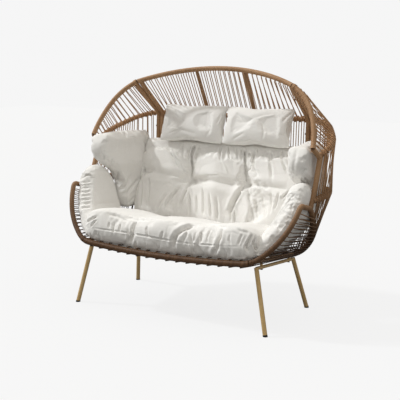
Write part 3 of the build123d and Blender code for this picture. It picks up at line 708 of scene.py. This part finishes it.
def linen_material():
    """Plain-woven fabric: warp and weft threads in the bump, a faint slub, and soft sheen."""
    material = started("linen")
    spot = here()
    weave_pitch = 0.0012
    split = Wires.node("ShaderNodeSeparateXYZ", None, Vector=spot)
    x, y, z = (Wires(split.outputs[k]) * (1 / weave_pitch) for k in range(3))
    threads = [Wires.maths("SINE", turns * (2 * np.pi)) for turns in (x + y * 0.35, z + y * 0.75)]
    slub_across = noise(spot, 1.0, 3.0, (900.0, 200.0, 60.0))
    slub_up = noise(spot, 1.0, 3.0, (60.0, 200.0, 900.0))
    patches = noise(spot, 6.0, 3.0)
    tone = slub_across * 0.35 + slub_up * 0.35 + patches * 0.3
    colour = tone.ranged(0.35, 0.65, 0.0, 0.55).mixed(linen_light, linen_shade)
    height = threads[0] * threads[1] * 0.2 + slub_across * 0.5 + slub_up * 0.5
    bump = Wires.node("ShaderNodeBump", None, Strength=0.35, Distance=0.0005, Height=height)
    shader = Wires.node(
        "ShaderNodeBsdfPrincipled",
        None,
        Base_Color=colour,
        Roughness=patches.ranged(0.3, 0.7, 0.82, 0.92),
        Sheen_Weight=0.25,
        Sheen_Roughness=0.5,
        Normal=Wires(bump.outputs[0]),
    )
    finished(shader)
    return material


linen = linen_material()


def blown(name, node, voxel, inset, cap, ties=(), spare=0.04, pressure=4.0, firm_top=0.0):
    """A cushion from its CAD solid: remeshed, drawn in at its ties, and blown up as cloth.

    A tie is (reach, depth, pixels): the surface within the reach of that path is drawn in to the
    depth and held there. A firm top holds the points that near to the highest one. The cloth is
    cut larger than the solid's surface by the spare share, which makes it slack.

    No point moves further than the cap from where the blowing starts."""
    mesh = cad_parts[node].data.copy()
    piece = bpy.data.objects.new(name, mesh)
    scene.collection.objects.link(piece)
    shell = bmesh.new()
    shell.from_mesh(mesh)
    bmesh.ops.remove_doubles(shell, verts=shell.verts, dist=1e-5)
    shell.to_mesh(mesh)
    shell.free()
    remesh = piece.modifiers.new("remesh", "REMESH")
    remesh.mode = "VOXEL"
    remesh.voxel_size = voxel
    mesh = evaluated_mesh(piece)
    piece.modifiers.clear()
    piece.data = mesh
    points, normals = arrays_of(mesh)
    start = points - inset * normals
    top = points[:, 2].max() - firm_top
    held = np.clip((points[:, 2] - top) / firm_fade, 0, 1)
    tree = sight_tree(mesh) if ties else None
    for reach, depth, pixels in ties:
        path = surface_points(tree, pixels)
        if len(path) == 1:
            path = np.vstack([path, path + 1e-4])
        if len(path) < 2:
            continue
        distance, _ = path_distance(points, path)
        start -= depth * normals * np.exp(-distance / (2 * reach))[:, None]
        held = np.maximum(held, np.clip(1.5 - distance / reach, 0, 1))
    place_points(mesh, start)
    pins = piece.vertex_groups.new(name="held")
    for level in (0.25, 0.5, 0.75, 1.0):
        chosen = np.nonzero((held > level - 0.25) & (held <= level))[0]
        pins.add(chosen.tolist(), level, "REPLACE")
    cloth = piece.modifiers.new("cloth", "CLOTH")
    settings = cloth.settings
    settings.quality = 4
    settings.mass = 0.3
    settings.tension_stiffness = 12
    settings.compression_stiffness = 12
    settings.shear_stiffness = 4
    settings.bending_stiffness = 0.15
    settings.shrink_min = -spare
    settings.use_pressure = True
    settings.uniform_pressure_force = pressure
    settings.effector_weights.gravity = 0
    settings.vertex_group_mass = "held"
    cloth.collision_settings.use_collision = False
    cloth.collision_settings.use_self_collision = False
    cloth.point_cache.frame_start = 1
    cloth.point_cache.frame_end = sim_frames
    for step in range(1, sim_frames + 1):
        scene.frame_set(step)
    settled = evaluated_mesh(piece)
    blown_points, _ = arrays_of(settled)
    move = blown_points - start
    length = np.linalg.norm(move, axis=1)[:, None]
    start = start + move * np.minimum(1, cap / np.maximum(length, 1e-9))
    piece.modifiers.clear()
    bpy.data.meshes.remove(settled)
    scene.frame_set(1)
    place_points(mesh, start)
    finer = piece.modifiers.new("finer", "SUBSURF")
    finer.levels = finer.render_levels = 1
    mesh = evaluated_mesh(piece)
    piece.modifiers.clear()
    piece.data = mesh
    return piece


groove_point = 1.4  # the groove's fall-off: 2 is round at the bottom, 1 is a sharp V
ridge_place = 2.4  # in half widths from the groove's middle
ridge_width = 1.2


def folded(piece, folds, widening=1.4, deepening=1.0, side=0.2):
    """Presses folds into a cushion: each is (half width, depth, pixels), in millimetres before the
    widening and deepening.

    A fold is a pointed groove with a faint ridge on both sides, and it fades out towards its ends.
    A negative depth makes a ridge."""
    mesh = piece.data
    tree = sight_tree(mesh)
    points, normals = arrays_of(mesh)
    move = np.zeros(len(points))
    for width, depth, pixels in folds:
        path = surface_points(tree, pixels)
        if len(path) < 2:
            continue
        width, depth = widening * width / 1000, deepening * depth / 1000
        low, high = path.min(0) - 4 * width, path.max(0) + 4 * width
        near = ((points > low) & (points < high)).all(1)
        distance, share = path_distance(points[near], path)
        fade = np.sin(np.pi * np.clip(0.5 * np.minimum(share, 1 - share) * 4, 0.04, 0.5))
        groove = np.exp(-((distance / width) ** groove_point))
        ridge = np.exp(-(((distance - ridge_place * width) / (ridge_width * width)) ** 2))
        move[near] -= depth * (groove - side * ridge) * fade
    place_points(mesh, points + move[:, None] * normals)


crease_sharpness = 6


def creased(piece, size, depth, seed, stretch=(1, 1, 1)):
    """Slack cloth: soft dents, and fine creases where noise passes through zero."""
    mesh = piece.data
    points, normals = arrays_of(mesh)
    warped = points + 0.3 * size * np.stack([lumps(points, size, seed + k) for k in (5, 6, 7)], axis=-1)
    dents = lumps(points, 2.2 * size, seed)
    creases = (1 - np.abs(lumps(warped, size * np.array(stretch), seed + 1))) ** crease_sharpness
    finer_noise = lumps(warped, 0.6 * size * np.array(stretch)[::-1], seed + 2)
    crossed = (1 - np.abs(finer_noise)) ** crease_sharpness
    move = depth * (dents - 0.9 * creases - 0.45 * crossed)
    place_points(mesh, points + move[:, None] * normals)


def dressed(piece, node, body):
    """A finished cushion: its cloth, the body that it moves with, and the solid it stands for."""
    mesh = piece.data
    mesh.polygons.foreach_set("use_smooth", np.full(len(mesh.polygons), True))
    mesh.materials.clear()
    mesh.materials.append(linen)
    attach(piece, body)
    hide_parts(node)


# Seat cushion: a boxed pad of loose fibre in the same cloth, with a seam along its front, and
# gathered at both front corners. It lies loose on the seat's strands.
seat_seam = [(88, 228), (96, 228.4), (108.5, 230.2), (125, 232.5), (150, 237), (175, 241.5)]
seat_seam += [(195, 244.3), (214, 245.4), (235, 246.6), (243, 246)]
seat_folds = (
    (3, 4, seat_seam),
    (7, 13, [(137, 221), (133.8, 226.7), (132.4, 235), (129.5, 243)]),
    (4, 6, [(128.3, 229), (128, 236), (128.3, 244)]),
    (5, 6, [(146.6, 226), (146.8, 232), (147.2, 238)]),
    (4, 5, [(109.3, 222), (108.6, 228)]),
    (4, 5, [(114.2, 223), (113.4, 230), (113.2, 236)]),
    (4, 5, [(120.5, 224), (119.6, 231)]),
    (5, 6, [(163, 231), (161.5, 236), (160.4, 241)]),
    (9, 18, [(195, 225.2), (184, 228.8), (177, 233.5), (173.6, 240), (173.4, 250)]),
    (5, 8, [(190.6, 235), (191.6, 243), (194.5, 254)]),
    (5, 6, [(188.5, 230), (185.5, 236), (182.5, 243)]),
    (4, 5, [(196, 232), (194.5, 238), (193, 243)]),
    (4, 6, [(201.8, 232), (200.6, 238), (200, 243)]),
    (4, 6, [(211, 229), (208, 235), (207, 243)]),
    (8, 14, [(222.5, 228), (219.5, 238), (216.9, 247), (213.4, 255)]),
    (4, 4, [(230, 234), (229, 240), (231, 245)]),
    (4, 5, [(242.5, 234), (240, 239), (238, 245)]),
    (5, 14, [(252.8, 234), (249.5, 240), (246, 247), (248.5, 252)]),
    (5, 14, [(256, 235.5), (253.6, 243), (256, 249), (260, 254)]),
    (4, 9, [(263.7, 231), (265.4, 236), (267, 241)]),
    (5, 11, [(97, 216.5), (91, 219.3), (86.5, 222.5)]),
    (4, 7, [(96.4, 219.8), (93, 223.8), (90.6, 227)]),
    (4, 7, [(84.5, 217), (84.5, 223), (87, 231), (90, 238)]),
    (4, 5, [(80.5, 215), (80.3, 221), (82, 228)]),
    (5, 5, [(96.5, 231), (95.3, 236), (97, 241)]),
    (6, 5, [(124, 216), (134, 219), (150, 220)]),
    (6, 5, [(108, 214), (118, 216.5), (128, 221)]),
    (7, 5, [(205, 222), (220, 226), (232, 229)]),
    (6, 4, [(232, 226), (240, 231), (250, 233)]),
)
seat = blown("seat_pad", "seat_cushion", 0.0075, -0.002, 0.020, spare=0.07)
folded(seat, seat_folds, widening=1.15, deepening=1.5)
creased(seat, 0.085, 0.0022, 11, (0.7, 1.2, 1))
dressed(seat, "seat_cushion", "cushions")

# Back cushion: one wide fibre-filled pad, tied through at three tufts, with two sewn channels up
# to its firm top edge. It leans on the back's strands.
left_tuft, middle_tuft, right_tuft = (144.6, 171), (192.9, 180.8), (247, 184.4)
middle_channel = [(196.9, 140), (194, 147), (191.5, 156), (192.8, 168), (191.9, 176.8), middle_tuft]
right_channel = [(245.9, 144.6), (244.8, 154), (245.4, 167), (246.6, 179), right_tuft]
back_ties = (
    (0.009, 0.034, [middle_tuft]),
    (0.009, 0.038, [right_tuft]),
    (0.009, 0.026, [left_tuft]),
    (0.007, 0.020, middle_channel),
    (0.007, 0.020, right_channel),
)
back_folds = (
    (4, 10, middle_channel),
    (4, 10, right_channel),
    (5, 10, [(143.6, 166), left_tuft, (144.2, 175)]),
    (16, 9, [left_tuft, (160, 173), (174, 176), middle_tuft]),
    (18, 9, [middle_tuft, (206, 180.2), (216, 181.6), (230.6, 184.7), right_tuft]),
    (16, 8, [right_tuft, (262, 186), (278, 188), (290, 190)]),
    (7, 9, [middle_tuft, (185.4, 191.1), (181.4, 199.8), (179, 210)]),
    (5, 8, [(190, 186), (189.4, 200), (189, 215)]),
    (10, 16, [right_tuft, (238.3, 193.7), (233.4, 202), (229.5, 214)]),
    (5, 8, [(235, 202), (234.4, 212), (234.4, 224)]),
    (5, 5, [(231, 206), (230.5, 215), (231, 222)]),
    (8, 7, [(168.2, 192.9), (160, 202), (155.6, 213)]),
    (7, 6, [(179, 188), (172, 196), (167, 203), (164, 212)]),
    (6, 5, [(196.3, 194), (196.6, 205), (196.9, 216)]),
    (6, 6, [(202.6, 187), (203, 202), (203.2, 216)]),
    (6, 5, [(209, 192), (210, 205), (211, 218)]),
    (6, 5, [(216, 196), (217, 208), (217.5, 220)]),
    (7, 6, [(142, 180), (141, 195), (140.5, 208)]),
    (6, 5, [(149, 177), (148.5, 192), (147.5, 208)]),
    (5, 6, [(172, 147), (176, 158), (184, 171), (190, 178)]),
    (5, 6, [(166, 143), (172, 156), (180, 170)]),
    (5, 7, [(189, 141), (189.4, 150), (188.4, 160)]),
    (5, 7, [(200.5, 141), (198.6, 149), (195, 160)]),
    (5, 6, [(183, 142), (182, 150), (184, 160)]),
    (5, 7, [(222, 144), (219.8, 152), (220.5, 160)]),
    (5, -6, [(225.5, 143.3), (221.7, 157.3), (227.4, 173.3)]),
    (4, 6, [(229.5, 145), (228.6, 152), (230, 160)]),
    (4, 6, [(236, 145), (236.5, 152), (238.5, 161)]),
    (4, 6, [(241.6, 144), (241, 151), (241.8, 160)]),
    (5, 8, [(250.4, 144), (249.6, 155), (250, 166)]),
    (8, 9, [(254.5, 144), (253, 158), (253.5, 170), (259, 176)]),
    (4, 6, [(259, 143.6), (257.5, 149), (256.5, 155)]),
    (8, -7, [(247.4, 160), (250.4, 174.5), (255.5, 181), (252, 185)]),
    (7, 6, [(270, 145), (271, 156), (270.5, 168), (272, 180)]),
    (5, 6, [(283, 147), (281.6, 158), (285, 168), (288, 175)]),
    (5, 5, [(289, 147), (288, 156), (289, 165)]),
    (8, 6, [(247.5, 193), (250, 202), (252, 212), (253, 222)]),
    (5, 6, [(255.5, 200), (256.5, 209), (257.4, 220)]),
    (6, 5, [(262, 196), (264, 206), (266, 218)]),
    (6, 5, [(271, 192), (271, 203), (270, 214)]),
    (5, 5, [(279, 192), (277, 201), (274, 210)]),
    (5, 8, [(289, 190.5), (285.5, 194.5), (281, 199)]),
)
back = blown("back_pad", "back_cushion", 0.0075, -0.002, 0.024, back_ties, spare=0.11, firm_top=0.06)
folded(back, back_folds, widening=1.1, deepening=2.1)
creased(back, 0.08, 0.0020, 21, (0.8, 1, 1.5))
dressed(back, "back_cushion", "cushions")

# Wing cushions: upright flaps at the ends of the back cushion, less tightly filled, so that they
# hang slack behind the arms.
wing_folds = {
    "left": (
        (5, 8, [(123.7, 130), (125, 134), (127, 139)]),
        (5, 6, [(144, 134), (145, 141), (147, 149)]),
        (5, 6, [(151, 134), (151.5, 140), (149.5, 148)]),
        (6, 7, [(111.8, 158), (110, 165), (107, 171)]),
        (6, 8, [(118, 171), (116.5, 176), (114.6, 180.5)]),
        (6, 8, [(130.5, 174), (128.5, 182), (124, 187), (118.5, 190.5)]),
        (6, 8, [(139, 178), (133, 186), (127, 192.5), (121, 195)]),
        (8, 5, [(104, 150), (103, 158), (101.5, 166)]),
        (6, 5, [(135, 196), (131, 201), (128, 204)]),
    ),
    "right": (
        (4, 6, [(303, 173), (305, 170), (307.5, 170.6)]),
        (4, 7, [(301.8, 178), (303, 182), (305.5, 186)]),
        (4, 7, [(305, 177), (307, 181), (309, 186)]),
        (4, 6, [(300, 187), (304, 189.5), (309, 190.5)]),
        (5, 5, [(309, 150), (310.5, 160), (311, 172)]),
        (5, 4, [(297, 148), (295, 160), (294, 172)]),
        (5, 5, [(293, 189), (296, 194), (292, 199)]),
    ),
}
for side, folds in wing_folds.items():
    wing = blown(f"wing_pad_{side}", f"wing_cushion_{side}", 0.0065, 0.001, 0.014, spare=0.07)
    folded(wing, folds, deepening=1.3)
    creased(wing, 0.07, 0.0018, 31 if side == "left" else 37)
    dressed(wing, f"wing_cushion_{side}", "cushions")

# Arm cushions: thick flaps that stand up inside the rim at the seat's ends, with a boxing strip
# along the rail, which the sewing gathers.
arm_edge_heights = (175.5, 182.4, 185.3, 188, 192, 195.6, 199.6, 203.6, 207.7)
arm_folds = {
    "left": tuple((4, 6, [(81, y + 1), (85, y), (91, y - 0.6)]) for y in arm_edge_heights)
    + (
        (6, 5, [(119.6, 208.2), (123, 206.2), (127, 204.5)]),
        (8, 4, [(92, 205), (104, 203), (116, 203)]),
        (3, 4, [(82.5, 170), (81.5, 185), (80, 200), (79.5, 212)]),
    ),
    "right": (
        (3, 5, [(297, 192.5), (289.4, 199.8), (281, 210.5), (272.4, 222.5), (265.5, 231)]),
        (5, 6, [(268, 219), (267.5, 225), (266, 230)]),
        (4, 5, [(294, 203), (291, 206), (292, 211)]),
        (5, 5, [(275, 221), (277, 226), (281, 231)]),
        (6, 5, [(283, 210), (286, 216), (291, 220)]),
    ),
}
for side, folds in arm_folds.items():
    arm = blown(f"arm_pad_{side}", f"arm_cushion_{side}", 0.0065, 0.003, 0.014, spare=0.05)
    folded(arm, folds, deepening=1.3)
    creased(arm, 0.075, 0.0018, 41 if side == "left" else 47)
    dressed(arm, f"arm_cushion_{side}", "cushions")

# Head pillows: two loose pillows, each of two panels sewn together at a knife edge and stuffed,
# with slack corners. They rest on the back cushion's top, against the hood.
pillow_folds = {
    "left": (
        (7, 5, [(174, 134), (182, 130), (196, 134)]),
        (5, 4, [(170, 126), (178, 128), (186, 132)]),
        (5, 4, [(206, 137), (210, 130), (212, 120)]),
        (4, 4, [(172, 112), (178, 117), (184, 122)]),
        (4, 4, [(224, 112), (220, 117), (216, 124)]),
        (4, 4, [(168, 134), (174, 131), (180, 130)]),
    ),
    "right": (
        (9, 6, [(233, 122), (247, 122), (260.3, 115.8), (278, 112.8)]),
        (5, 4, [(232, 140), (238, 136), (244, 133)]),
        (5, 4, [(290, 140), (285, 136), (279, 134)]),
        (5, 4, [(293, 112), (287, 117), (282, 122)]),
        (4, 4, [(236, 112), (240, 117), (244, 122)]),
        (4, 4, [(262, 140), (264, 132), (262, 124)]),
    ),
}
for side, folds in pillow_folds.items():
    pillow = blown(f"head_pillow_{side}_filled", f"head_pillow_{side}", 0.005, -0.003, 0.010, spare=0.11)
    folded(pillow, folds, deepening=0.8)
    creased(pillow, 0.06, 0.0009, 51 if side == "left" else 57)
    dressed(pillow, f"head_pillow_{side}", f"{side}_pillow")
